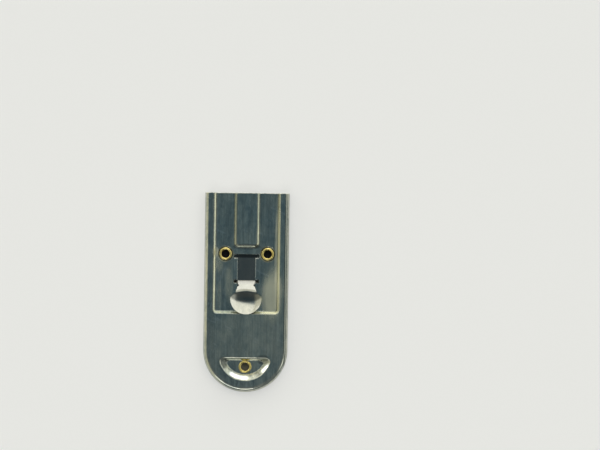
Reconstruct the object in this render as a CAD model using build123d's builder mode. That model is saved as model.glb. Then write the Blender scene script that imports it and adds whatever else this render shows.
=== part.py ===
from build123d import *
from math import atan, cos, degrees, radians, sin, sqrt, tan
import os

# A flat safety scraper lying on its back. X runs across it, +Y points out of the mouth and +Z
# is up. The origin is under the middle of the body, on the surface it lies on. Lengths are in
# millimetres. Places along the body run back from the mouth: the blade, its spine, the slots,
# the thumb catch and the sunken panel each start from the one before, and the half-moon dish
# starts from the middle of the round end.

# Pressed body
body_length = 100.5
body_height = 5.0
rail_width = 4.65
sheet = 0.6
side_bend = 2.5
crest_bend = 0.6
foot_bend = 0.6
plate_fit = 0.1
overrun = 2.0
touch = 0.01
flat_share = 0.586

# Sunken panel with its two flanks, and the raised channel between them
panel_room = 1.4
recess_corner = 2.1
recess_overlap = 0.35
channel_width = 10.6
channel_to_slot = 5.3
channel_corner = 1.5
wall_draft = 22

# Half-moon dish round the hanging eyelet
moon_room = 1.3
moon_lag = 1.8
moon_margin = 7.85
moon_run = 2.7
moon_chord_offset = 4.2
moon_chord_run = 1.1
moon_corner = 2.2
moon_bend = 1.3
moon_foot_bend = 0.3

# Eyelet rivets and their seats
eyelet_bore_radius = 2.0
eyelet_wall = 0.3
eyelet_flange_radius = 3.25
eyelet_roll_radius = 3.05
eyelet_hole_fit = 0.05
bead_flats = 4
front_eyelet_spacing = 21.3
front_eyelet_margin = 5.95
front_eyelet_lead = 1.0
rear_eyelet_offset = 8.55
seat_depth = 0.3
seat_radius = 3.6
seat_draft = 45
boss_radius = 3.9
boss_draft = 25

# Slot for the thumb catch, with a cross slot at each end of the travel
slide_travel = 12.8
spine_to_slot = 9.7
cross_slot_gap = 0.3
cross_slot_length = 1.8
thumb_slot_gap = 0.2
thumb_slot_run_out = 3.0
slot_corner = 0.25

# Single-edge blade and its folded spine, drawn in
blade_height = 18.4
blade_thickness = 0.23
blade_setback = 3.8
blade_floor_gap = 0.1
bevel_height = 1.9
edge_thickness = 0.03
blade_slot_width = 2.8
blade_slot_length = 5.1
blade_slot_centre = 8.4
notch_width = 2.8
notch_depth = 3.7
notch_flare = 0.7
spine_side_gap = 1.1
spine_overhang = 0.35
spine_height = 6.5
spine_leaf = 0.41
spine_fold_radius = 0.45
spine_corner = 1.5

# Spring strip that carries the blade and ends in the thumb catch
strip = 0.5
strip_gap = 0.05
shoulder_gap = 0.65
shoulder_length = 1.4
tongue_inset = 0.9
neck_inset = 1.9
hook_width = 2.2
hook_gap = 0.1
hook_reach = 0.45
tongue_lead = 0.9
step_gap = 0.35
step_run = 0.95
strip_bend = 0.5
ramp_angle = 36
ramp_lead = 0.3

# Round dished thumb piece at the end of the ramp, placed from the lower cross slot
spoon_radius = 7.9
spoon_reach = 8.55
spoon_flare_lead = 6.4
spoon_crest_lead = 2.9
spoon_crest_width = 10.9
spoon_shoulder_run = 3.4
bowl_radius = 15.0
bowl_low_height = 4.2
bowl_turn = (0, -90, 0)
crest_radius = 2.2
relief_radius = 0.42
ramp_relief_lead = 6.6

# Places and sizes worked out from the sizes above
recess_width = front_eyelet_spacing + 2 * front_eyelet_margin
body_width = recess_width + 2 * rail_width
spine_width = body_width - 2 * (sheet + spine_side_gap)
blade_width = spine_width - 2 * spine_overhang
shoulder_width = front_eyelet_spacing - 2 * (boss_radius + shoulder_gap)
tongue_width = shoulder_width - 2 * tongue_inset
neck_width = shoulder_width - 2 * neck_inset
cross_slot_width = shoulder_width + 2 * cross_slot_gap
thumb_slot_width = neck_width + 2 * thumb_slot_gap
mouth = body_length / 2
body_radius = body_width / 2
round_centre = body_radius - body_length / 2
panel_underside = sheet + panel_room
moon_underside = sheet + moon_room
recess_depth = body_height - sheet - panel_underside
moon_depth = body_height - sheet - moon_underside
moon_radius = body_radius - moon_margin
moon_middle = round_centre - moon_lag
moon_chord = round_centre - moon_chord_offset
moon_slope = degrees(atan(moon_run / moon_depth))
blade_edge = mouth - blade_setback
spine_back = blade_edge - blade_height
spine_thickness = 2 * spine_leaf + blade_thickness
spine_bottom = sheet + blade_floor_gap
blade_bottom = spine_bottom + spine_leaf
spine_top = spine_bottom + spine_thickness
upper_cross_slot = spine_back - spine_to_slot
lower_cross_slot = upper_cross_slot - slide_travel
slot_front = upper_cross_slot + cross_slot_length / 2
slot_back = lower_cross_slot - thumb_slot_run_out
channel_back = upper_cross_slot + channel_to_slot
shoulder_top = panel_underside - strip_gap
spoon_centre = lower_cross_slot - spoon_reach
spoon_flare = spoon_centre + spoon_flare_lead
spoon_crest = spoon_centre + spoon_crest_lead
recess_back = spoon_centre - spoon_radius + recess_overlap
front_seat = panel_underside - seat_depth
front_eyelets = [
    (-front_eyelet_spacing / 2, upper_cross_slot + front_eyelet_lead),
    (front_eyelet_spacing / 2, upper_cross_slot + front_eyelet_lead),
]
rear_eyelet = (0, round_centre - rear_eyelet_offset)


def pressed_step(draft):
    """How far the underside of a pressed wall stands outside the show side, a sheet lower."""
    return sheet * (1 - sin(radians(draft))) / cos(radians(draft))


def draw_body(inset, front):
    """Straight sides from the front back to a half-round end, drawn inset from the skirt."""
    radius = body_radius - inset
    with Locations((0, round_centre)):
        Circle(radius)
        Rectangle(2 * radius, front - round_centre, align=(Align.CENTER, Align.MIN))


def draw_recess(sketch, grow, front):
    """Sunken panel and its two flanks, with every edge moved outwards by grow."""
    back = recess_back - grow
    channel_end = channel_back + grow
    with Locations((0, back)):
        Rectangle(recess_width + 2 * grow, front - back, align=(Align.CENTER, Align.MIN))
    fillet(sketch.vertices().group_by(Axis.Y)[0], recess_corner + grow)
    with Locations((0, channel_end)):
        Rectangle(
            channel_width - 2 * grow,
            front - channel_end,
            align=(Align.CENTER, Align.MIN),
            mode=Mode.SUBTRACT,
        )
    end_corners = sketch.vertices().filter_by_position(
        Axis.Y, channel_end - sheet, channel_end + sheet
    )
    fillet(end_corners, channel_corner - grow)


def press_moon(inset, top):
    """Half-moon tool: a cone cut off by a sloping chord wall."""
    step = pressed_step(moon_slope) if inset else 0
    floor = top - moon_depth
    chord_foot = moon_chord - moon_chord_run + step
    chord_wall = Plane(origin=(0, chord_foot, floor), z_dir=(0, moon_depth, -moon_chord_run))
    with BuildPart() as moon:
        with BuildSketch(Plane.XY.offset(floor)):
            with Locations((0, moon_middle)):
                Circle(moon_radius - moon_run + step)
        extrude(amount=moon_depth + overrun, taper=-moon_slope)
        split(bisect_by=chord_wall, keep=Keep.BOTTOM)
        level = moon.edges().filter_by(
            lambda edge: abs((edge @ 0).Z - (edge @ 1).Z) < touch
        )
        fillet(moon.edges() - level, moon_corner)
    return moon.part


def bend(edges, radius, inset):
    """Round a small bend on the show side; the sheet hides its sharp underside."""
    if not inset:
        fillet(edges, radius)


def press_body(inset, front):
    """Body block down to the ground, less every pressing, inset from the show side."""
    top = body_height - inset
    step = pressed_step(wall_draft) if inset else 0
    seat_step = pressed_step(seat_draft) if inset else 0
    recess_floor = top - recess_depth
    moon_floor = top - moon_depth
    seat_floor = recess_floor - seat_depth
    floor_grow = step - recess_depth * tan(radians(wall_draft))
    moon = press_moon(inset, top)
    with BuildPart() as pressing:
        with BuildSketch(Plane.XY.offset(-inset)):
            draw_body(inset, front)
        extrude(amount=top + inset)
        rim = pressing.faces().sort_by(Axis.Z)[-1].edges()
        rim = rim.filter_by(lambda edge: edge.center().Y < front - sheet)
        if inset:
            chamfer(rim, (side_bend - inset) * flat_share)
        else:
            fillet(rim, side_bend)
        with BuildSketch(Plane.XY.offset(recess_floor)) as floor:
            draw_recess(floor, floor_grow, front + overrun)
        extrude(amount=recess_depth + overrun, taper=-wall_draft, mode=Mode.SUBTRACT)
        recess_edges = pressing.edges().filter_by(
            lambda edge: edge.center().Y < front - touch
            and edge.center().Y > recess_back - sheet
            and abs(edge.center().X) < recess_width / 2 + sheet
        )
        crest = recess_edges.filter_by_position(Axis.Z, top - touch, top + touch)
        bend(crest, crest_bend, inset)
        recess_edges = pressing.edges().filter_by(lambda edge: edge.center().Y < front - touch)
        foot = recess_edges.filter_by_position(
            Axis.Z, recess_floor - touch, recess_floor + touch
        )
        bend(foot, foot_bend, inset)
        add(moon, mode=Mode.SUBTRACT)
        moon_edges = pressing.edges().filter_by(
            lambda edge: edge.center().Y < moon_chord + sheet
            and (edge.center() - Vector(0, moon_middle, edge.center().Z)).length
            < moon_radius + sheet
        )
        moon_crest = moon_edges.filter_by_position(Axis.Z, top - touch, top + touch)
        bend(moon_crest, moon_bend, inset)
        moon_foot = pressing.edges().filter_by_position(
            Axis.Z, moon_floor - touch, moon_floor + touch
        )
        bend(moon_foot, moon_foot_bend, inset)
        with BuildSketch(Plane.XY.offset(seat_floor)):
            with Locations(*front_eyelets):
                Circle(seat_radius + seat_step)
        extrude(amount=seat_depth + overrun, taper=-seat_draft, mode=Mode.SUBTRACT)
    return pressing


def cut_cross_slot(centre):
    """Cross slot in the sketch at hand, rounded at its corners."""
    with Locations((0, centre)):
        RectangleRounded(cross_slot_width, cross_slot_length, slot_corner)


# Pressed cover
outside = press_body(0, mouth + overrun)
inside = press_body(sheet, mouth + 2 * overrun)
with BuildPart() as cover:
    add(outside.part)
    add(inside.part, mode=Mode.SUBTRACT)
    split(bisect_by=Plane.XZ.offset(-mouth))
    with BuildSketch(Plane.XY.offset(panel_underside - touch)):
        cut_cross_slot(upper_cross_slot)
        cut_cross_slot(lower_cross_slot)
        with Locations((0, (slot_front + slot_back) / 2)):
            Rectangle(thumb_slot_width, slot_front - slot_back - slot_corner)
    extrude(amount=sheet + 2 * touch, mode=Mode.SUBTRACT)
    with Locations(*front_eyelets, rear_eyelet):
        Hole(eyelet_bore_radius + eyelet_wall + eyelet_hole_fit)


def press_boss(seat, centre):
    """Boss pressed up from the back plate to a seat, drawn as its outer and inner cones."""
    slope = tan(radians(boss_draft))
    inner_radius = boss_radius - pressed_step(boss_draft)
    with BuildPart(mode=Mode.PRIVATE) as dome:
        with BuildSketch(Plane.XY.offset(sheet)):
            with Locations(centre):
                Circle(boss_radius + (seat - sheet) * slope)
        extrude(amount=seat - sheet, taper=boss_draft)
    with BuildPart(mode=Mode.PRIVATE) as dent:
        with BuildSketch(Plane.XY):
            with Locations(centre):
                Circle(inner_radius + (seat - sheet) * slope)
        extrude(amount=seat - sheet, taper=boss_draft)
    return dome, dent


# Back plate, nested in the skirt
bosses = [press_boss(front_seat, centre) for centre in front_eyelets]
bosses.append(press_boss(moon_underside, rear_eyelet))
with BuildPart() as back_plate:
    with BuildSketch(Plane.XY):
        draw_body(sheet + plate_fit, mouth)
    extrude(amount=sheet)
    for dome, dent in bosses:
        add(dome.part)
        add(dent.part, mode=Mode.SUBTRACT)
    with Locations(*front_eyelets, rear_eyelet):
        Hole(eyelet_bore_radius + eyelet_wall + eyelet_hole_fit)


def bead(inner, outer, base, rise):
    """Points over a rolled bead, in short flats from its inner foot to its outer foot."""
    middle = (inner + outer) / 2
    half = (outer - inner) / 2
    turns = [180 - 180 * step / bead_flats for step in range(bead_flats + 1)]
    return [
        (middle + half * cos(radians(turn)), base + rise * sin(radians(turn)))
        for turn in turns
    ]


def roll_eyelet(seat, centre):
    """Eyelet whose flange lies on the cover's seat and whose end is rolled under the boss."""
    x, y = centre
    shank_radius = eyelet_bore_radius + eyelet_wall
    flange_rise = (eyelet_flange_radius - eyelet_bore_radius) / 2
    roll_drop = (eyelet_roll_radius - eyelet_bore_radius) / 2
    flange = bead(eyelet_bore_radius, eyelet_flange_radius, seat + sheet, flange_rise)
    roll = bead(eyelet_bore_radius, eyelet_roll_radius, seat - sheet, -roll_drop)
    shank = [(shank_radius, seat + sheet), (shank_radius, seat - sheet)]
    profile = [(x + radius, height) for radius, height in flange + shank + roll[::-1]]
    with BuildPart() as eyelet:
        with BuildSketch(Plane.XZ.offset(-y)):
            with BuildLine():
                Polyline(*profile, close=True)
            make_face()
        revolve(axis=Axis((x, y, 0), (0, 0, 1)))
    return eyelet


# Eyelet rivets
eyelet_front_left = roll_eyelet(front_seat, front_eyelets[0])
eyelet_front_right = roll_eyelet(front_seat, front_eyelets[1])
eyelet_rear = roll_eyelet(moon_underside, rear_eyelet)

# Single-edge blade, its ground edge towards the mouth
blade_middle = blade_bottom + blade_thickness / 2
with BuildPart() as blade:
    with BuildSketch(Plane.XY.offset(blade_bottom)) as blade_blank:
        with Locations((0, blade_edge)):
            Rectangle(blade_width, blade_height - spine_leaf, align=(Align.CENTER, Align.MAX))
        with Locations((0, blade_edge - blade_slot_centre)):
            SlotOverall(
                blade_slot_length, blade_slot_width, rotation=90, mode=Mode.SUBTRACT
            )
        for side in (-1, 1):
            with Locations((side * blade_width / 2, blade_edge - blade_slot_centre)):
                SlotOverall(2 * notch_depth, notch_width, mode=Mode.SUBTRACT)
        notch_lips = blade_blank.vertices().filter_by(
            lambda corner: abs(corner.X) > blade_width / 2 - touch
            and abs(corner.Y - blade_edge + blade_slot_centre) < notch_width
        )
        fillet(notch_lips, notch_flare)
    extrude(amount=blade_thickness)
    with BuildSketch(Plane.YZ):
        with BuildLine():
            Polyline(
                (blade_edge, blade_middle - edge_thickness / 2),
                (blade_edge, blade_middle + edge_thickness / 2),
                (blade_edge - bevel_height, blade_bottom + blade_thickness),
                (spine_back, blade_bottom + blade_thickness),
                (spine_back, blade_bottom),
                (blade_edge - bevel_height, blade_bottom),
                close=True,
            )
        make_face()
    extrude(amount=blade_width, both=True, mode=Mode.INTERSECT)

# Folded spine, crimped over the blade's back
with BuildPart() as blade_spine:
    with BuildSketch(Plane.YZ) as fold:
        with Locations((spine_back, spine_bottom)):
            Rectangle(spine_height, spine_thickness, align=(Align.MIN, Align.MIN))
        fillet(fold.vertices().group_by(Axis.X)[0], spine_fold_radius)
        with Locations((spine_back + spine_leaf, blade_bottom)):
            Rectangle(
                spine_height, blade_thickness, align=(Align.MIN, Align.MIN), mode=Mode.SUBTRACT
            )
    extrude(amount=spine_width / 2, both=True)
    with BuildSketch(Plane.XY.offset(spine_bottom)) as spine_plan:
        with Locations((0, spine_back)):
            Rectangle(spine_width, spine_height, align=(Align.CENTER, Align.MIN))
        fillet(spine_plan.vertices().group_by(Axis.Y)[-1], spine_corner)
    extrude(amount=spine_thickness, mode=Mode.INTERSECT)

# Spring strip, pressed down as it is while it slides
tongue_middle = spine_top + strip_gap + strip / 2
slot_end_centre = (
    blade_edge - blade_slot_centre - blade_slot_length / 2 + blade_slot_width / 2
)
hook_back = (
    slot_end_centre - sqrt((blade_slot_width / 2) ** 2 - (hook_width / 2) ** 2) + hook_gap
)
hook_middle = hook_back + strip / 2
step_front = spine_back - step_gap
ramp_slope = tan(radians(ramp_angle))
ramp_foot = lower_cross_slot + ramp_lead
shoulder_front = lower_cross_slot + shoulder_length / 2
shoulder_back = lower_cross_slot - shoulder_length / 2
shoulder_middle = shoulder_top - strip / 2 / cos(radians(ramp_angle))
tail_middle = shoulder_middle - (ramp_foot - shoulder_back) * ramp_slope
bowl_middle = (0, spoon_centre, bowl_low_height + bowl_radius)
tongue_front = hook_back - tongue_lead


def flare_half_width(place):
    """Half width of the straight flare between the neck and the spoon's crest."""
    flared_share = (spoon_flare - place) / (spoon_flare - spoon_crest)
    return neck_width / 2 + flared_share * (spoon_crest_width - neck_width) / 2


def draw_spoon():
    """Round spoon with sloping shoulders at its crest, and the flare that narrows to the neck."""
    half_crest = spoon_crest_width / 2
    shoulder_foot = spoon_crest - spoon_shoulder_run
    with Locations((0, spoon_centre)):
        Circle(spoon_radius)
    Polygon(
        (half_crest, spoon_crest),
        (half_crest + spoon_shoulder_run, shoulder_foot),
        (half_crest + spoon_shoulder_run, shoulder_foot - 2 * spoon_radius),
        (-half_crest - spoon_shoulder_run, shoulder_foot - 2 * spoon_radius),
        (-half_crest - spoon_shoulder_run, shoulder_foot),
        (-half_crest, spoon_crest),
        align=None,
        mode=Mode.INTERSECT,
    )
    Polygon(
        (neck_width / 2, spoon_flare),
        (half_crest, spoon_crest),
        (-half_crest, spoon_crest),
        (-neck_width / 2, spoon_flare),
        align=None,
    )


def draw_band(width, front, back):
    """Straight stretch of the strip between two places along the body."""
    with Locations((0, back)):
        Rectangle(width, front - back, align=(Align.CENTER, Align.MIN))


def find_crest(piece):
    """Round edges across the middle between the ramp and the bowl, the lowest first."""
    edges = piece.edges().filter_by(GeomType.CIRCLE).filter_by(
        lambda edge: abs((edge @ 0.5).X) < touch
        and spoon_centre < (edge @ 0.5).Y < ramp_foot - ramp_run / 2
    )
    return edges.sort_by(Axis.Z)


ramp_run = ramp_foot - spoon_crest + strip
ramp_front = Plane(
    origin=(
        0,
        ramp_foot + strip / 2 * sin(radians(ramp_angle)),
        tail_middle + strip / 2 * cos(radians(ramp_angle)),
    ),
    z_dir=(0, sin(radians(ramp_angle)), cos(radians(ramp_angle))),
)
with BuildPart() as spoon:
    with Locations(bowl_middle):
        Sphere(bowl_radius + strip, rotation=bowl_turn)
    with BuildSketch(Plane.XY):
        draw_spoon()
    extrude(amount=bowl_low_height + spoon_radius, mode=Mode.INTERSECT)
    split(bisect_by=ramp_front, keep=Keep.BOTTOM)

reliefs = [
    (side * flare_half_width(place), place)
    for side in (-1, 1)
    for place in (spoon_centre + ramp_relief_lead, spoon_crest)
]
with BuildPart() as slide_strip:
    with BuildSketch(Plane.YZ):
        with BuildLine() as bend_line:
            FilletPolyline(
                (hook_middle, blade_bottom - hook_reach + strip / 2),
                (hook_middle, tongue_middle),
                (step_front, tongue_middle),
                (step_front - step_run, tail_middle),
                (ramp_foot, tail_middle),
                (ramp_foot - ramp_run, tail_middle + ramp_run * ramp_slope),
                radius=strip_bend,
            )
        trace(line_width=strip)
    extrude(amount=shoulder_width / 2, both=True)
    with BuildSketch(Plane.XY):
        draw_spoon()
        draw_band(hook_width, hook_back + strip, tongue_front)
        draw_band(tongue_width, tongue_front, shoulder_front)
        draw_band(shoulder_width, shoulder_front, shoulder_back)
        draw_band(neck_width, shoulder_back, spoon_flare)
    extrude(amount=bowl_low_height + spoon_radius, mode=Mode.INTERSECT)
    add(spoon.part)
    with Locations(bowl_middle):
        Sphere(bowl_radius, rotation=bowl_turn, mode=Mode.SUBTRACT)
    crest = find_crest(slide_strip)
    fillet(crest[-1], crest_radius)
    crest = find_crest(slide_strip)
    fillet(crest[0], crest_radius - strip)
    with BuildSketch(Plane.XY.offset(shoulder_top)):
        with Locations(*reliefs):
            Circle(relief_radius)
    extrude(amount=bowl_low_height + spoon_radius, mode=Mode.SUBTRACT)

os.makedirs("parts", exist_ok=True)
cover.part.label = "cover"
export_step(cover.part, "parts/cover.step")
back_plate.part.label = "back_plate"
export_step(back_plate.part, "parts/back_plate.step")
eyelet_front_left.part.label = "eyelet_front_left"
export_step(eyelet_front_left.part, "parts/eyelet_front_left.step")
eyelet_front_right.part.label = "eyelet_front_right"
export_step(eyelet_front_right.part, "parts/eyelet_front_right.step")
eyelet_rear.part.label = "eyelet_rear"
export_step(eyelet_rear.part, "parts/eyelet_rear.step")
blade.part.label = "blade"
export_step(blade.part, "parts/blade.step")
blade_spine.part.label = "blade_spine"
export_step(blade_spine.part, "parts/blade_spine.step")
slide_strip.part.label = "slide_strip"
export_step(slide_strip.part, "parts/slide_strip.step")
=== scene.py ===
from math import pi, radians

import bpy
import numpy as np
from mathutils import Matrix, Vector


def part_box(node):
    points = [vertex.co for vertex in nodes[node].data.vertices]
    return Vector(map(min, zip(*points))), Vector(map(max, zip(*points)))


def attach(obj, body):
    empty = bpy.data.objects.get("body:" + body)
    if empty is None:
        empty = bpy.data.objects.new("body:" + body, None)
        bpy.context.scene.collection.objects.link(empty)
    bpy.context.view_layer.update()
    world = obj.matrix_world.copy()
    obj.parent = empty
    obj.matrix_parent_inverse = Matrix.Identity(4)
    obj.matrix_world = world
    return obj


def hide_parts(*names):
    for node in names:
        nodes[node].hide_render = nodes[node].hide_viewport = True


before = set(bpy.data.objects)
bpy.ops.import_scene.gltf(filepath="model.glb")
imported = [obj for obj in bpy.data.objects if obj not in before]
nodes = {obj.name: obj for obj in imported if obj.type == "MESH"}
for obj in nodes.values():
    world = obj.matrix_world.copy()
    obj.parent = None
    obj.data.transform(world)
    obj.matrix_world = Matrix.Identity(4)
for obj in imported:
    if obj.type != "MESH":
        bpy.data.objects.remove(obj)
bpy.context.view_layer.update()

MM = 0.001

# The body's plan: straight sides back to a half-round end
BODY_HALF_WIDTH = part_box("cover")[1][0]
ROUND_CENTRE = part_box("cover")[0][1] + BODY_HALF_WIDTH

# Eyelets: bore and roll radii, the shank's wall, and how finely the outline is turned
EYELET_BORE = 2.0 * MM
EYELET_ROLL = 3.05 * MM
EYELET_WALL = 0.3 * MM
OVAL_STEPS = 17
EYELET_TURNS = 96
SHARP_ANGLE = radians(50)

# How far the cut edges of each piece look eased
COVER_EASE = 0.2 * MM
STRIP_EASE = 0.14 * MM
PLATE_EASE = 0.14 * MM
SPINE_EASE = 0.1 * MM

# Height of the grain and depth of the scratches on every metal
GRAIN_DEPTH = 0.02 * MM

# Colours on the zinc: warm plating and painted sheen, painted shade, painted highlight on the
# recess walls, painted highlight on cut edges
WARM_PLATING_AND_SHEEN = (0.84, 0.82, 0.64, 1.0)
PAINTED_SHADE = (0.10, 0.12, 0.11, 1.0)
PAINTED_HIGHLIGHT = (0.92, 0.93, 0.82, 1.0)
EDGE_HIGHLIGHT = (0.95, 0.95, 0.90, 1.0)

# The tables and pairs of places below are in millimetres. A pair says where a tone begins to
# come or go and where it has fully done so.

# Warm dulled patches of the cover: centre, radii and strength. They are partly uneven plating
# and partly a painted sheen where the sheet's slopes catch light, as beside the left front
# eyelet
COVER_PATCHES = [
    ((13.2, -1.0, 2.6), (6.8, 16.0, 9.0), 0.9),
    ((15.6, 20.0, 2.6), (1.9, 34.0, 9.0), 0.8),
    ((-14.0, 14.5, 2.6), (3.0, 5.5, 9.0), 0.45),
    # painted sheen left of the left front eyelet
    ((-15.4, 20.3, 2.6), (1.8, 3.2, 9.0), 1.0),
    ((-8.5, 4.0, 2.6), (2.6, 12.0, 9.0), 0.4),
    ((-13.5, -2.0, 2.6), (1.6, 9.0, 9.0), 0.3),
    ((0.0, -24.0, 5.0), (24.0, 19.0, 9.0), 0.2),
]

# Painted shade on the cover: centre, radii and strength at the channel's end, in the dish on
# the right and on the left, and along the right side's bend
COVER_SHADE = [
    ((0.0, 23.1, 3.8), (7.6, 1.6, 9.0), 0.5),
    ((9.0, -33.8, 3.6), (3.4, 2.8, 9.0), 0.5),
    ((-11.4, -35.6, 3.6), (2.2, 3.6, 9.0), 0.3),
    ((19.65, 8.0, 4.6), (0.6, 60.0, 9.0), 0.75),
]

# Painted highlights along the cover's cut edges, as bright strips: centre, half width, half
# length and strength at the slot's two sides, the upper cross slot's ends and the mouth
COVER_EDGE_HIGHLIGHTS = [
    ((-4.65, 11.0, 2.6), 0.08, 5.6, 0.4),
    ((4.65, 11.0, 2.6), 0.08, 5.6, 0.4),
    ((-5.35, 17.15, 2.6), 0.75, 0.15, 0.8),
    ((5.35, 17.15, 2.6), 0.75, 0.15, 0.8),
    ((0.0, 50.1, 2.6), 21.0, 0.1, 1.0),
]

# Bands of height in the recess: from, to, strength and colour of the painted shade in the
# eyelets' seats, the painted shade in the wall's foot and the painted highlight on the wall
RECESS_BANDS = [
    (1.9, 2.585, 0.75, PAINTED_SHADE),
    (2.615, 2.95, 0.75, PAINTED_SHADE),
    (3.02, 4.6, 0.75, PAINTED_HIGHLIGHT),
]

# The painted shade along the recess's shoulder, as one more such band, and where it ends on the
# right
SHOULDER_BAND = (4.66, 4.985, 0.6)
SHOULDER_END = (14.0, 15.0)

# How softly a band ends
BAND_EDGE = 0.01 * MM

# The recess's bands keep within this reach in plan and ahead of this place on Y
RECESS_REACH = (17.2, 17.5)
RECESS_BACK = (-12.5, -12.0)

# The skirt has painted shade past this reach in plan and below this height
SKIRT_REACH = (19.8, 20.2)
SKIRT_TOP = (3.4, 4.1)

# The strip has painted shade below this height, and darker painted shade ahead of this place on
# Y
STRIP_SHADE_TOP = (2.0, 2.9)
UNDER_CROSS_SLOT = (17.3, 17.7)

# Both ends on Y of the strip's ramp and of the shoulder ahead of it
RAMP_BACK = (0.4, 0.9)
RAMP_FRONT = (4.0, 4.4)
SHOULDER_BACK = (4.1, 4.5)
SHOULDER_FRONT = (5.3, 5.6)

# The painted shade in the hollow of the thumb catch, as centre and radii, and where the ramp
# ends it on Y
HOLLOW_SHADE = ((0.0, 0.7, 5.0), (9.8, 5.7, 9.0))
HOLLOW_FRONT = (0.35, 0.75)

# Places where the thumb catch's corners were relieved, and the radii of the painted shade in
# them
RELIEFS = [(-4.3, 3.6, 4.0), (4.3, 3.6, 4.0), (-5.6, -0.1, 4.0), (5.6, -0.1, 4.0)]
RELIEF_SHADE_RADII = (0.75, 0.7, 9.0)

# The blade's ground band, as distances back from its edge
GROUND_BAND = (2.1, 1.8)

# The back plate has painted shade above this height, inside the body, and a bore below this one
PLATE_INSIDE = (0.3, 0.5)
BORE_TOP = (2.15, 2.7)

# The floor has painted shade within this reach in plan and behind this place on Y, lighter at
# the rear, where its warm tone is a painted reflection of the brass eyelet's bore
SHADE_REACH = (15.5, 18.0)
SHADE_MOUTH = (45.0, 48.0)
SHADE_REAR = (-32.0, -24.0)

# The floor reaches this many metres each way and lies just under the body
FLOOR_REACH = 2.5
FLOOR_DROP = 0.02 * MM

# The camera: lens and sensor as cameras name them, the width of the view and the place it
# stands above in metres, and the photograph's turn in degrees
LENS = 100.0
SENSOR = 36.0
VIEW_WIDTH = 0.3038
VIEW_MIDDLE = (0.0267, 0.0344)
PHOTO_TURN = 0.84


def in_mm(lengths):
    """Lengths given in millimetres, as metres."""
    return tuple(MM * length for length in lengths)


def scaled(colour, share):
    """A colour made lighter or darker by a share of itself, opaque."""
    return tuple(share * channel for channel in colour[:3]) + (1.0,)


class Bench:
    """A node tree under work: adds nodes, sets their sockets and joins them."""

    def __init__(self, tree):
        self.tree = tree

    def put(self, kind, sockets=None, **settings):
        """New node of a kind, with its settings made and the named sockets fed."""
        node = self.tree.nodes.new(kind)
        for name, value in settings.items():
            setattr(node, name, value)
        for name, value in (sockets or {}).items():
            self.feed(node.inputs[name], value)
        return node

    def feed(self, socket, value):
        """Join a socket to another node's output, or set it to a plain value."""
        if isinstance(value, bpy.types.NodeSocket):
            self.tree.links.new(value, socket)
        else:
            socket.default_value = value

    def math(self, operation, first, second=0.0, third=None):
        node = self.put("ShaderNodeMath", operation=operation)
        self.feed(node.inputs[0], first)
        self.feed(node.inputs[1], second)
        if third is not None:
            self.feed(node.inputs[2], third)
        return node.outputs[0]

    def both(self, first, second):
        """Product of two masks: what lies in both."""
        return self.math("MULTIPLY", first, second)

    def vector(self, operation, first, second):
        node = self.put("ShaderNodeVectorMath", operation=operation)
        self.feed(node.inputs[0], first)
        self.feed(node.inputs[1], second)
        return node.outputs["Vector"]

    def split(self, vector):
        return self.put("ShaderNodeSeparateXYZ", {"Vector": vector}).outputs

    def join(self, x, y, z):
        return self.put("ShaderNodeCombineXYZ", {"X": x, "Y": y, "Z": z}).outputs[0]

    def turn(self, vector, angle):
        """A vector turned about Z."""
        sockets = {"Vector": vector, "Angle": angle}
        return self.put("ShaderNodeVectorRotate", sockets, rotation_type="Z_AXIS").outputs[0]

    def ramp(self, value, low, high, to_low=0.0, to_high=1.0):
        """Smooth step of a value: to_low up to low, and to_high from high on."""
        node = self.put("ShaderNodeMapRange", interpolation_type="SMOOTHSTEP")
        self.feed(node.inputs["Value"], value)
        self.feed(node.inputs["From Min"], low)
        self.feed(node.inputs["From Max"], high)
        self.feed(node.inputs["To Min"], to_low)
        self.feed(node.inputs["To Max"], to_high)
        return node.outputs["Result"]

    def fade(self, value, low, high):
        """Smooth step down: one up to low, and nothing from high on."""
        return self.ramp(value, low, high, 1.0, 0.0)

    def within(self, value, reach, soft):
        """One up to the reach, and nothing from a soft edge's width past it."""
        return self.fade(value, reach, self.math("ADD", reach, soft))

    def blend(self, share, first, second):
        """Mix of two colours, with the second in the given share."""
        node = self.put("ShaderNodeMix", data_type="RGBA")
        self.feed(node.inputs[0], share)
        self.feed(node.inputs[6], first)
        self.feed(node.inputs[7], second)
        return node.outputs[2]

    def noise(self, vector, scale, detail=3.0, roughness=0.55):
        node = self.put(
            "ShaderNodeTexNoise", {"Scale": scale, "Detail": detail, "Roughness": roughness}
        )
        self.feed(node.inputs["Vector"], vector)
        return node.outputs["Fac"]

    def use(self, tree, **sockets):
        """One copy of a shared effect, with its sockets set or fed; returns its output."""
        return self.put("ShaderNodeGroup", sockets, node_tree=tree).outputs[0]


def open_group(name, inputs, output):
    """Empty node group with named sockets; returns its bench, its inputs and its output."""
    tree = bpy.data.node_groups.new(name, "ShaderNodeTree")
    for label, kind, value in inputs:
        socket = tree.interface.new_socket(label, in_out="INPUT", socket_type=kind)
        if value is not None:
            socket.default_value = value
    tree.interface.new_socket(output, in_out="OUTPUT", socket_type="NodeSocketFloat")
    bench = Bench(tree)
    return bench, bench.put("NodeGroupInput").outputs, bench.put("NodeGroupOutput").inputs[0]


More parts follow.
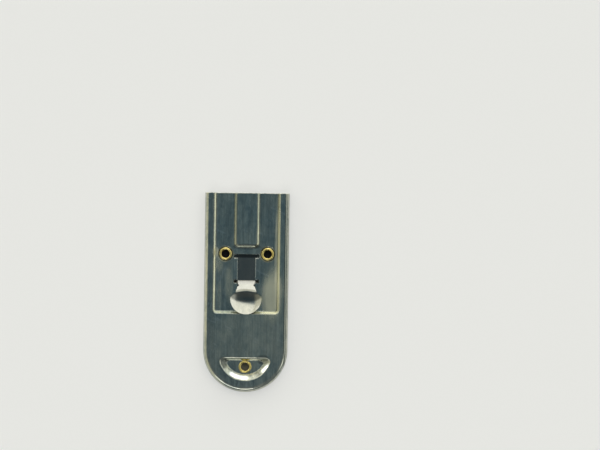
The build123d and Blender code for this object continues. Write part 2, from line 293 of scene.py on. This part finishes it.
def make_drawn_grain():
    """Long fine lines along Y, left on sheet metal by its rollers.

    Noise squeezed far more along X and Z than along Y, at two widths, added in the shares
    0.6 and 0.4.
    """
    bench, given, result = open_group(
        "drawn_grain",
        [("Vector", "NodeSocketVector", None), ("Lines", "NodeSocketFloat", 1500.0)],
        "Grain",
    )
    across = given["Lines"]
    along = bench.math("MULTIPLY", across, 0.03)
    place = bench.vector("MULTIPLY", given["Vector"], bench.join(across, along, across))
    fine = bench.noise(place, 1.0, 2.0, 0.6)
    broad = bench.noise(place, 0.21, 2.0, 0.5)
    broad_part = bench.math("MULTIPLY", broad, 0.4)
    bench.feed(result, bench.math("MULTIPLY_ADD", fine, 0.6, broad_part))
    return bench.tree


def make_hair_scratches():
    """Sparse hair lines at an angle: the thin band where stretched noise crosses its middle.

    The mask is one within Width of the noise value 0.5, falling to nothing at twice that,
    and a slow second noise leaves it only in patches.
    """
    bench, given, result = open_group(
        "hair_scratches",
        [
            ("Vector", "NodeSocketVector", None),
            ("Turn", "NodeSocketFloat", 0.0),
            ("Density", "NodeSocketFloat", 160.0),
            ("Width", "NodeSocketFloat", 0.004),
        ],
        "Mask",
    )
    turned = bench.turn(given["Vector"], given["Turn"])
    density = given["Density"]
    stretch = bench.join(density, bench.math("MULTIPLY", density, 0.035), 3.0)
    field = bench.noise(bench.vector("MULTIPLY", turned, stretch), 1.0, 1.0, 0.4)
    off_middle = bench.math("ABSOLUTE", bench.math("SUBTRACT", field, 0.5))
    width = given["Width"]
    line = bench.fade(off_middle, width, bench.math("MULTIPLY", width, 2.0))
    patch = bench.ramp(bench.noise(turned, 260.0, 1.0), 0.5, 0.62)
    bench.feed(result, bench.both(line, patch))
    return bench.tree


def make_plating_cloud():
    """Uneven bloom of a plated finish, drawn out along Y, from a wide and a small noise."""
    bench, given, result = open_group(
        "plating_cloud",
        [("Vector", "NodeSocketVector", None), ("Size", "NodeSocketFloat", 90.0)],
        "Cloud",
    )
    size = given["Size"]
    drawn = bench.vector("MULTIPLY", given["Vector"], (1.0, 0.55, 1.0))
    wide = bench.noise(drawn, size, 3.0, 0.6)
    small = bench.noise(drawn, bench.math("MULTIPLY", size, 3.1), 2.0, 0.5)
    small_part = bench.math("MULTIPLY", small, 0.4)
    cloud = bench.math("MULTIPLY_ADD", wide, 0.6, small_part)
    bench.feed(result, bench.ramp(cloud, 0.36, 0.64))
    return bench.tree


def make_plan_reach():
    """Distance in plan from the body's middle line, which ends in the round end's middle.

    It is the root of X squared plus Y squared, where Y is measured from that middle and
    counts only behind it.
    """
    bench, given, result = open_group(
        "plan_reach", [("Vector", "NodeSocketVector", None)], "Reach"
    )
    place = bench.split(given["Vector"])
    behind = bench.math("MINIMUM", bench.math("SUBTRACT", place["Y"], ROUND_CENTRE), 0.0)
    squares = bench.math("MULTIPLY_ADD", behind, behind, bench.math("POWER", place["X"], 2.0))
    bench.feed(result, bench.math("SQRT", squares))
    return bench.tree


def make_rim_wear_and_sheen():
    """Worn rim of the body with a painted sheen: one past the reach To in plan, none short of
    From.

    A fine noise breaks the wear and sheen up.
    """
    bench, given, result = open_group(
        "rim_wear_and_sheen",
        [
            ("Vector", "NodeSocketVector", None),
            ("From", "NodeSocketFloat", 0.019),
            ("To", "NodeSocketFloat", 0.021),
        ],
        "Mask",
    )
    reach = bench.use(plan_reach, Vector=given["Vector"])
    rim = bench.ramp(reach, given["From"], given["To"])
    broken = bench.ramp(bench.noise(given["Vector"], 650.0, 3.0), 0.38, 0.62)
    bench.feed(result, bench.both(rim, broken))
    return bench.tree


def make_oval_patch():
    """Soft oval patch with a ragged edge.

    A place's way is the length of its offset from Centre, each part divided by its own one
    of the Radii, so the oval itself lies at a way of one. The mask is one up to the way
    Inner and nothing from 1.1 on. A noise drawn out along Y moves the way, and Ragged is
    the share of it that counts.
    """
    bench, given, result = open_group(
        "oval_patch",
        [
            ("Vector", "NodeSocketVector", None),
            ("Centre", "NodeSocketVector", None),
            ("Radii", "NodeSocketVector", None),
            ("Ragged", "NodeSocketFloat", 0.3),
            ("Inner", "NodeSocketFloat", 0.4),
        ],
        "Mask",
    )
    off_centre = bench.vector("SUBTRACT", given["Vector"], given["Centre"])
    length = bench.put("ShaderNodeVectorMath", operation="LENGTH")
    bench.feed(length.inputs[0], bench.vector("DIVIDE", off_centre, given["Radii"]))
    drawn = bench.vector("MULTIPLY", given["Vector"], (1.0, 0.16, 1.0))
    uneven = bench.math("SUBTRACT", bench.noise(drawn, 620.0, 3.0), 0.5)
    wander = bench.math("MULTIPLY", uneven, given["Ragged"])
    way = bench.math("ADD", length.outputs["Value"], wander)
    bench.feed(result, bench.fade(way, given["Inner"], 1.1))
    return bench.tree


def make_height_band():
    """Band between two heights, one from Low to High and nothing past Soft outside them."""
    bench, given, result = open_group(
        "height_band",
        [
            ("Vector", "NodeSocketVector", None),
            ("Low", "NodeSocketFloat", 0.0),
            ("High", "NodeSocketFloat", 0.001),
            ("Soft", "NodeSocketFloat", 0.0001),
        ],
        "Mask",
    )
    height = bench.split(given["Vector"])["Z"]
    above = bench.ramp(height, bench.math("SUBTRACT", given["Low"], given["Soft"]), given["Low"])
    below = bench.within(height, given["High"], given["Soft"])
    bench.feed(result, bench.both(above, below))
    return bench.tree


def make_highlight_strip():
    """Straight strip of painted highlight along a cut edge: one inside a rectangle in plan,
    broken by noise.
    """
    bench, given, result = open_group(
        "highlight_strip",
        [
            ("Vector", "NodeSocketVector", None),
            ("Centre", "NodeSocketVector", None),
            ("HalfWidth", "NodeSocketFloat", 0.001),
            ("HalfLength", "NodeSocketFloat", 0.001),
        ],
        "Mask",
    )
    off_centre = bench.split(bench.vector("SUBTRACT", given["Vector"], given["Centre"]))
    soft = 0.2 * MM
    across = bench.within(bench.math("ABSOLUTE", off_centre["X"]), given["HalfWidth"], soft)
    along = bench.within(bench.math("ABSOLUTE", off_centre["Y"]), given["HalfLength"], soft)
    broken = bench.ramp(bench.noise(given["Vector"], 900.0, 2.0), 0.3, 0.55, 0.45, 1.0)
    bench.feed(result, bench.both(bench.both(across, along), broken))
    return bench.tree


def make_light_window():
    """Soft-edged rectangular softbox of the studio sky, as a mask over directions.

    The sky is first turned back by Turn, the box's azimuth from +Y towards +X. Lean is how
    far a direction then leans from straight up towards the box, and aside how far it lies
    to either side of it. The mask is one inside HalfWidth and from LeanFrom to LeanTo, all
    in degrees, and falls to nothing over Soft degrees.
    """
    bench, given, result = open_group(
        "light_window",
        [
            ("Direction", "NodeSocketVector", None),
            ("Turn", "NodeSocketFloat", 0.0),
            ("HalfWidth", "NodeSocketFloat", 30.0),
            ("LeanFrom", "NodeSocketFloat", 30.0),
            ("LeanTo", "NodeSocketFloat", 90.0),
            ("Soft", "NodeSocketFloat", 5.0),
        ],
        "Mask",
    )
    way = bench.split(bench.turn(given["Direction"], bench.math("RADIANS", given["Turn"])))
    lean = bench.math("DEGREES", bench.math("ARCTAN2", way["Y"], way["Z"]))
    aside = bench.math("ABSOLUTE", bench.math("DEGREES", bench.math("ARCSINE", way["X"])))
    soft = given["Soft"]
    beside = bench.within(aside, given["HalfWidth"], soft)
    above = bench.ramp(lean, bench.math("SUBTRACT", given["LeanFrom"], soft), given["LeanFrom"])
    below = bench.within(lean, given["LeanTo"], soft)
    bench.feed(result, bench.both(beside, bench.both(above, below)))
    return bench.tree


drawn_grain = make_drawn_grain()
hair_scratches = make_hair_scratches()
plating_cloud = make_plating_cloud()
plan_reach = make_plan_reach()
rim_wear_and_sheen = make_rim_wear_and_sheen()
oval_patch = make_oval_patch()
height_band = make_height_band()
highlight_strip = make_highlight_strip()
light_window = make_light_window()


def start_metal(name):
    """Material with its own metal shader; returns the material, its bench, shader and place."""
    material = bpy.data.materials.new(name)
    material.use_nodes = True
    material.node_tree.nodes.clear()
    bench = Bench(material.node_tree)
    output = bench.put("ShaderNodeOutputMaterial")
    shader = bench.put("ShaderNodeBsdfPrincipled", {"Metallic": 1.0})
    bench.feed(output.inputs["Surface"], shader.outputs[0])
    place = bench.put("ShaderNodeTexCoord").outputs["Object"]
    return material, bench, shader, place


class SheetFinish:
    """Plated or rolled sheet metal: clouded colour, drawn grain and hair scratches.

    The colour goes from dull to bright with a cloud. Over it come a lighter cloud of a
    quarter of its size, darker drawn lines and pale scratches. Cloud and grain also make
    the metal a little rougher.
    """

    def __init__(self, name, dull, bright, lines, rough, cloud_size=90.0, mottling=1.0):
        self.material, self.bench, self.shader, self.place = start_metal(name)
        bench, place = self.bench, self.place
        cloud = bench.use(plating_cloud, Vector=place, Size=cloud_size)
        self.grain = bench.use(drawn_grain, Vector=place, Lines=lines)
        steep = bench.use(hair_scratches, Vector=place, Turn=0.35, Density=420.0, Width=0.006)
        flat = bench.use(hair_scratches, Vector=place, Turn=-1.1, Density=330.0, Width=0.005)
        self.scratches = bench.math("MAXIMUM", steep, flat)
        self.colour = bench.blend(cloud, dull, bright)
        mottle = bench.use(plating_cloud, Vector=place, Size=4.0 * cloud_size)
        self.tint(mottle, 0.45 * mottling, scaled(bright, 1.25))
        lined = bench.ramp(self.grain, 0.36, 0.62)
        self.tint(lined, 0.45 * mottling, scaled(dull, 0.6))
        self.tint(self.scratches, 0.4, (0.78, 0.78, 0.75, 1.0))
        self.rough = rough
        self.roughen(cloud, 0.04)
        self.roughen(self.grain, 0.06)

    def at(self, axis):
        """The surface's place along one axis."""
        return self.bench.split(self.place)[axis]

    def patch(self, centre, radii, **edge):
        """Mask of a soft oval patch, with its centre and radii in millimetres."""
        return self.bench.use(
            oval_patch, Vector=self.place, Centre=in_mm(centre), Radii=in_mm(radii), **edge
        )

    def band(self, low, high):
        """Mask of a band between two heights in millimetres."""
        return self.bench.use(
            height_band, Vector=self.place, Low=low * MM, High=high * MM, Soft=BAND_EDGE
        )

    def tint(self, mask, share, colour):
        """Move the colour towards another one where the mask is, by a share."""
        amount = self.bench.math("MULTIPLY", mask, share)
        self.colour = self.bench.blend(amount, self.colour, colour)

    def roughen(self, mask, amount):
        """Add to the roughness where the mask is."""
        self.rough = self.bench.math("MULTIPLY_ADD", mask, amount, self.rough)

    def finish(self, strength=0.25, edge=0.0):
        """Join colour, roughness and bump to the shader, with cut edges eased by edge."""
        bench = self.bench
        height = bench.math("MULTIPLY_ADD", self.scratches, -0.8, self.grain)
        bump = bench.put(
            "ShaderNodeBump", {"Strength": strength, "Distance": GRAIN_DEPTH, "Height": height}
        )
        if edge:
            eased = bench.put("ShaderNodeBevel", {"Radius": edge}, samples=4)
            bench.feed(bump.inputs["Normal"], eased.outputs[0])
        bench.feed(self.shader.inputs["Base Color"], self.colour)
        bench.feed(self.shader.inputs["Roughness"], self.rough)
        bench.feed(self.shader.inputs["Normal"], bump.outputs[0])
        return self.material


def dull_plating_and_sheen(sheet):
    """Warm rougher patches and worn rim, partly painted sheen; small bright specks on the
    cover's zinc.
    """
    for centre, radii, share in COVER_PATCHES:
        patch = sheet.patch(centre, radii)
        sheet.tint(patch, share, WARM_PLATING_AND_SHEEN)
        sheet.roughen(patch, 0.2 * share)
    # worn rim with a painted sheen
    rim_wear_sheen = sheet.bench.use(rim_wear_and_sheen, Vector=sheet.place)
    sheet.tint(rim_wear_sheen, 0.3, (0.72, 0.73, 0.66, 1.0))
    specks = sheet.bench.ramp(sheet.bench.noise(sheet.place, 2600.0, 1.0), 0.66, 0.74)
    sheet.tint(specks, 0.6, (0.97, 0.97, 0.90, 1.0))


def paint_cover_shade_and_highlight(sheet):
    """Painted shade on the skirt and single places; painted shade and highlight in recess bands.
    """
    bench = sheet.bench
    reach = bench.use(plan_reach, Vector=sheet.place)
    # painted shade on the skirt
    side = bench.ramp(reach, *in_mm(SKIRT_REACH))
    low_down = bench.fade(sheet.at("Z"), *in_mm(SKIRT_TOP))
    sheet.tint(bench.both(side, low_down), 0.45, (0.22, 0.24, 0.19, 1.0))
    inner = bench.fade(reach, *in_mm(RECESS_REACH))
    recess = bench.both(inner, bench.ramp(sheet.at("Y"), *in_mm(RECESS_BACK)))
    # painted shade and a painted highlight in bands of height in the recess
    for low, high, share, colour in RECESS_BANDS:
        sheet.tint(bench.both(sheet.band(low, high), recess), share, colour)
    low, high, share = SHOULDER_BAND
    left = bench.both(recess, bench.fade(sheet.at("X"), *in_mm(SHOULDER_END)))
    sheet.tint(bench.both(sheet.band(low, high), left), share, PAINTED_SHADE)
    # painted shade at single places of the cover
    for centre, radii, share in COVER_SHADE:
        sheet.tint(sheet.patch(centre, radii, Ragged=0.1, Inner=0.75), share, PAINTED_SHADE)


def paint_edge_highlights(sheet):
    """Painted highlights: bright, slightly rougher strips along the cover's cut edges."""
    for centre, half_width, half_length, share in COVER_EDGE_HIGHLIGHTS:
        strip = sheet.bench.use(
            highlight_strip,
            Vector=sheet.place,
            Centre=in_mm(centre),
            HalfWidth=half_width * MM,
            HalfLength=half_length * MM,
        )
        # painted highlight along a cut edge
        sheet.tint(strip, share, EDGE_HIGHLIGHT)
        sheet.roughen(strip, 0.35 * share)


def make_cover_metal():
    """Zinc-plated cover: cool plating, dulled in places, with painted shade, sheen and
    highlights.
    """
    dull = (0.41, 0.46, 0.44, 1.0)
    bright = (0.66, 0.66, 0.57, 1.0)
    sheet = SheetFinish("zinc_cover", dull, bright, 1500.0, 0.12)
    dull_plating_and_sheen(sheet)
    paint_cover_shade_and_highlight(sheet)
    paint_edge_highlights(sheet)
    return sheet.finish(edge=COVER_EASE)


def make_plate_metal():
    """Zinc-plated back plate: cool, worn rim with painted sheen, painted shade where it faces
    the inside.
    """
    dull = (0.44, 0.51, 0.51, 1.0)
    bright = (0.57, 0.62, 0.60, 1.0)
    sheet = SheetFinish("zinc_back_plate", dull, bright, 1500.0, 0.22)
    # worn rim with a painted sheen
    rim_wear_sheen = sheet.bench.use(rim_wear_and_sheen, Vector=sheet.place)
    sheet.tint(rim_wear_sheen, 0.4, (0.72, 0.73, 0.70, 1.0))
    # painted shade on the plate's face inside the body
    inside = sheet.bench.ramp(sheet.at("Z"), *in_mm(PLATE_INSIDE))
    sheet.tint(inside, 0.9, (0.08, 0.085, 0.08, 1.0))
    return sheet.finish(edge=PLATE_EASE)


def make_strip_metal():
    """Spring strip: painted shade in the body, in the catch's hollow and in the reliefs.

    The ramp up to the thumb catch and the shoulder ahead of it get painted shade that dims their
    highlights.
    """
    dull = (0.60, 0.61, 0.58, 1.0)
    bright = (0.70, 0.70, 0.65, 1.0)
    sheet = SheetFinish("spring_strip", dull, bright, 1900.0, 0.16, mottling=0.3)
    bench = sheet.bench
    along = sheet.at("Y")
    # painted shade on the strip inside the body
    shaded_low = bench.fade(sheet.at("Z"), *in_mm(STRIP_SHADE_TOP))
    sheet.tint(shaded_low, 0.85, (0.21, 0.205, 0.19, 1.0))
    # darker painted shade under the cover ahead of the cross slot
    under_cross = bench.both(bench.ramp(along, *in_mm(UNDER_CROSS_SLOT)), shaded_low)
    sheet.tint(under_cross, 0.7, (0.02, 0.022, 0.022, 1.0))
    # painted shade on the ramp and on the shoulder, dimming their highlights
    from_back = bench.ramp(along, *in_mm(RAMP_BACK))
    on_ramp = bench.both(from_back, bench.fade(along, *in_mm(RAMP_FRONT)))
    sheet.tint(on_ramp, 0.75, (0.32, 0.32, 0.29, 1.0))
    from_back = bench.ramp(along, *in_mm(SHOULDER_BACK))
    on_shoulder = bench.both(from_back, bench.fade(along, *in_mm(SHOULDER_FRONT)))
    sheet.tint(on_shoulder, 0.45, (0.42, 0.42, 0.40, 1.0))
    behind_ramp = bench.fade(along, *in_mm(HOLLOW_FRONT))
    # painted shade in the catch's hollow
    shaded_hollow = bench.both(sheet.patch(*HOLLOW_SHADE, Ragged=0.06, Inner=0.86), behind_ramp)
    sheet.tint(shaded_hollow, 0.86, (0.14, 0.15, 0.14, 1.0))
    # painted shade in the relieved corners
    for relief in RELIEFS:
        sheet.tint(sheet.patch(relief, RELIEF_SHADE_RADII), 1.0, (0.02, 0.02, 0.02, 1.0))
    return sheet.finish(edge=STRIP_EASE)


def make_spine_metal():
    """Plain rolled steel of the blade's folded spine."""
    dull = (0.42, 0.44, 0.44, 1.0)
    bright = (0.54, 0.55, 0.53, 1.0)
    return SheetFinish("spine_steel", dull, bright, 2600.0, 0.22).finish(edge=SPINE_EASE)


def make_blade_metal():
    """Blade steel, dull and brownish, with a pale ground band along its edge."""
    dull = (0.34, 0.31, 0.27, 1.0)
    bright = (0.42, 0.38, 0.33, 1.0)
    sheet = SheetFinish("blade_steel", dull, bright, 2400.0, 0.26)
    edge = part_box("blade")[1][1]
    far, near = in_mm(GROUND_BAND)
    ground = sheet.bench.ramp(sheet.at("Y"), edge - far, edge - near)
    sheet.tint(ground, 0.75, (0.74, 0.73, 0.70, 1.0))
    across = sheet.bench.vector("MULTIPLY", sheet.place, (900.0, 9000.0, 900.0))
    lapped = sheet.bench.ramp(sheet.bench.noise(across, 1.0, 2.0), 0.35, 0.65)
    sheet.roughen(sheet.bench.both(lapped, ground), 0.12)
    return sheet.finish()


def make_brass():
    """Brass of the eyelets: warm metal, with dark brown painted shade down in the bore."""
    dull = (0.82, 0.64, 0.21, 1.0)
    bright = (0.97, 0.81, 0.34, 1.0)
    sheet = SheetFinish(
        "eyelet_brass", dull, bright, 1200.0, 0.2, cloud_size=220.0, mottling=0.5
    )
    # painted shade down in the bore
    in_bore = sheet.bench.fade(sheet.at("Z"), *in_mm(BORE_TOP))
    sheet.tint(in_bore, 0.9, (0.05, 0.04, 0.025, 1.0))
    return sheet.finish(strength=0.15)


finishes = {
    "cover": make_cover_metal(),
    "back_plate": make_plate_metal(),
    "slide_strip": make_strip_metal(),
    "blade_spine": make_spine_metal(),
    "blade": make_blade_metal(),
}
for node_name, material in finishes.items():
    for slot in nodes[node_name].material_slots:
        slot.material = material


def ring_outline(bore, wall, flange, roll, top, bottom):
    """Closed outline of a set eyelet as radius and height arrays, going round once.

    From the bore's lower end the outline goes straight up the bore, over the flange as half
    an oval from the bore to the flange's rim, in under the flange to the shank, down the
    shank, out to the roll's rim and back under it as half an oval to the bore.
    """
    turn = np.linspace(pi, 0.0, OVAL_STEPS)
    back = turn[::-1]
    flange_rise = (flange - bore) / 2
    roll_drop = (roll - bore) / 2
    flange_foot = top - flange_rise
    roll_foot = bottom + roll_drop
    over_radius = (bore + flange) / 2 + flange_rise * np.cos(turn)
    over = np.stack([over_radius, flange_foot + flange_rise * np.sin(turn)])
    under_radius = (bore + roll) / 2 + roll_drop * np.cos(back)
    under = np.stack([under_radius, roll_foot - roll_drop * np.sin(back)])
    shank = np.array([[bore + wall, bore + wall], [flange_foot, roll_foot]])
    return np.concatenate([over, shank, under], axis=1)


def turn_eyelet(node_name, name):
    """Smooth eyelet in the place of a CAD node: its outline turned once round the bore's axis.

    The point at outline step i and turn j is the bore's middle plus radius i times the
    direction (cos, sin) of turn j, at height i.
    """
    low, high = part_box(node_name)
    middle_x = (low[0] + high[0]) / 2
    middle_y = (low[1] + high[1]) / 2
    flange = (high[0] - low[0]) / 2
    radius, height = ring_outline(
        EYELET_BORE, EYELET_WALL, flange, EYELET_ROLL, high[2], low[2]
    )
    turns = np.linspace(0.0, 2 * pi, EYELET_TURNS, endpoint=False)
    steps = len(radius)
    x = middle_x + radius[:, None] * np.cos(turns)[None, :]
    y = middle_y + radius[:, None] * np.sin(turns)[None, :]
    z = np.broadcast_to(height[:, None], x.shape)
    points = np.stack([x, y, z], axis=-1).reshape(-1, 3)
    i, j = np.meshgrid(np.arange(steps), np.arange(EYELET_TURNS), indexing="ij")
    row = i * EYELET_TURNS
    next_row = ((i + 1) % steps) * EYELET_TURNS
    next_j = (j + 1) % EYELET_TURNS
    corners = [row + j, next_row + j, next_row + next_j, row + next_j]
    quads = np.stack(corners, axis=-1).reshape(-1, 4)
    mesh = bpy.data.meshes.new(name)
    mesh.from_pydata(points.tolist(), [], quads.tolist())
    mesh.polygons.foreach_set("use_smooth", np.ones(len(mesh.polygons), dtype=bool))
    mesh.set_sharp_from_angle(angle=SHARP_ANGLE)
    mesh.update()
    ring = bpy.data.objects.new(name, mesh)
    bpy.context.scene.collection.objects.link(ring)
    return ring


brass = make_brass()
for node_name in ("eyelet_front_left", "eyelet_front_right", "eyelet_rear"):
    ring = turn_eyelet(node_name, "turned_" + node_name)
    ring.data.materials.append(brass)
    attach(ring, "body")
    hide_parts(node_name)


# Light windows of the studio sky: azimuth, half width, lean from and to, soft edge, all in
# degrees, then colour and strength. Where two overlap, the later one lies in front.
SKY_WINDOWS = {
    "tail_shade": (180, 62, 14, 92, 14, (1.0, 1.12, 1.12), 0.16),
    "mouth_wide": (10, 40, 19, 92, 8, (1.0, 0.99, 0.86), 1.15),
    "mouth_low": (14.5, 22, 72, 92, 3, (1.0, 1.0, 0.97), 3.8),
    "left": (-90, 45, 42, 92, 6, (1.0, 0.98, 0.76), 0.66),
    "right": (90, 24, 41, 58, 5, (1.0, 1.0, 0.90), 1.25),
    "mouth_left_low": (-58, 9, 66, 92, 3, (1.0, 1.0, 0.96), 3.6),
    "tail": (198, 19, 43, 53, 3, (1.0, 1.0, 0.93), 2.4),
}


def set_studio_air():
    """Studio sky: dark overhead, paler to the horizon, with soft light windows round it.

    The camera itself sees a plain pale backdrop.
    """
    world = bpy.data.worlds.new("studio_air")
    bpy.context.scene.world = world
    world.use_nodes = True
    world.node_tree.nodes.clear()
    bench = Bench(world.node_tree)
    direction = bench.put("ShaderNodeTexCoord").outputs["Generated"]
    overhead = bench.ramp(bench.split(direction)["Z"], 0.0, 0.85)
    colour = bench.blend(overhead, (0.36, 0.37, 0.34, 1.0), (0.082, 0.130, 0.158, 1.0))
    for turn, half_width, lean_from, lean_to, soft, tint, strength in SKY_WINDOWS.values():
        mask = bench.use(
            light_window,
            Direction=direction,
            Turn=turn,
            HalfWidth=half_width,
            LeanFrom=lean_from,
            LeanTo=lean_to,
            Soft=soft,
        )
        colour = bench.blend(mask, colour, scaled(tint, strength))
    seen = bench.put("ShaderNodeLightPath").outputs["Is Camera Ray"]
    colour = bench.blend(seen, colour, (0.95, 0.95, 0.95, 1.0))
    background = bench.put("ShaderNodeBackground", {"Color": colour, "Strength": 1.0})
    output = bench.put("ShaderNodeOutputWorld")
    bench.feed(output.inputs["Surface"], background.outputs[0])


def make_floor_paper():
    """Pale matt paper, painted shade under the body where bores and slots show it, warm and
    lighter behind.

    The pale part also glows by itself, in a share of 0.45 for the camera and in 0.3 of
    that share in the mirror of the metals.
    """
    material = bpy.data.materials.new("pale_floor")
    material.use_nodes = True
    bench = Bench(material.node_tree)
    shader = material.node_tree.nodes["Principled BSDF"]
    output = material.node_tree.nodes["Material Output"]
    place = bench.put("ShaderNodeTexCoord").outputs["Object"]
    along = bench.split(place)["Y"]
    paper = bench.noise(place, 900.0, 3.0)
    pale = bench.blend(paper, (0.88, 0.88, 0.88, 1.0), (0.92, 0.92, 0.92, 1.0))
    beside = bench.ramp(bench.use(plan_reach, Vector=place), *in_mm(SHADE_REACH))
    clear = bench.math("MAXIMUM", beside, bench.ramp(along, *in_mm(SHADE_MOUTH)))
    rear = bench.fade(along, *in_mm(SHADE_REAR))
    # painted shade under the body, lighter and warm at the rear as a painted reflection of the
    # brass bore
    shade = bench.blend(rear, (0.03, 0.032, 0.035, 1.0), (0.30, 0.29, 0.23, 1.0))
    bench.feed(shader.inputs["Base Color"], bench.blend(clear, shade, pale))
    bench.feed(shader.inputs["Roughness"], 0.9)
    bench.feed(shader.inputs["Specular IOR Level"], 0.0)
    rays = bench.put("ShaderNodeLightPath").outputs
    mirrored = bench.math("MULTIPLY", rays["Is Glossy Ray"], 0.3)
    seen = bench.math("MAXIMUM", rays["Is Camera Ray"], mirrored)
    glow = bench.put("ShaderNodeEmission", {"Color": (0.97, 0.97, 0.97, 1.0), "Strength": 1.0})
    mix = bench.put("ShaderNodeMixShader")
    bench.feed(mix.inputs[0], bench.math("MULTIPLY", bench.both(seen, clear), 0.45))
    bench.feed(mix.inputs[1], shader.outputs[0])
    bench.feed(mix.inputs[2], glow.outputs[0])
    bench.feed(output.inputs["Surface"], mix.outputs[0])
    return material


def lay_floor():
    """Flat studio floor, far wider than the view."""
    around = [(-1, -1), (1, -1), (1, 1), (-1, 1)]
    corners = [(FLOOR_REACH * x, FLOOR_REACH * y, -FLOOR_DROP) for x, y in around]
    mesh = bpy.data.meshes.new("floor")
    mesh.from_pydata(corners, [], [(0, 1, 2, 3)])
    mesh.materials.append(make_floor_paper())
    floor = bpy.data.objects.new("floor", mesh)
    bpy.context.scene.collection.objects.link(floor)


def set_camera():
    """Camera straight above the middle of the photograph, turned with it."""
    camera = bpy.data.cameras.new("camera")
    camera.lens = LENS
    camera.sensor_width = SENSOR
    eye = bpy.data.objects.new("camera", camera)
    eye.location = (*VIEW_MIDDLE, VIEW_WIDTH * LENS / SENSOR)
    eye.rotation_euler = (0.0, 0.0, radians(PHOTO_TURN))
    bpy.context.scene.collection.objects.link(eye)
    bpy.context.scene.camera = eye


lay_floor()
set_studio_air()
set_camera()
bpy.context.scene.view_settings.view_transform = "Standard"
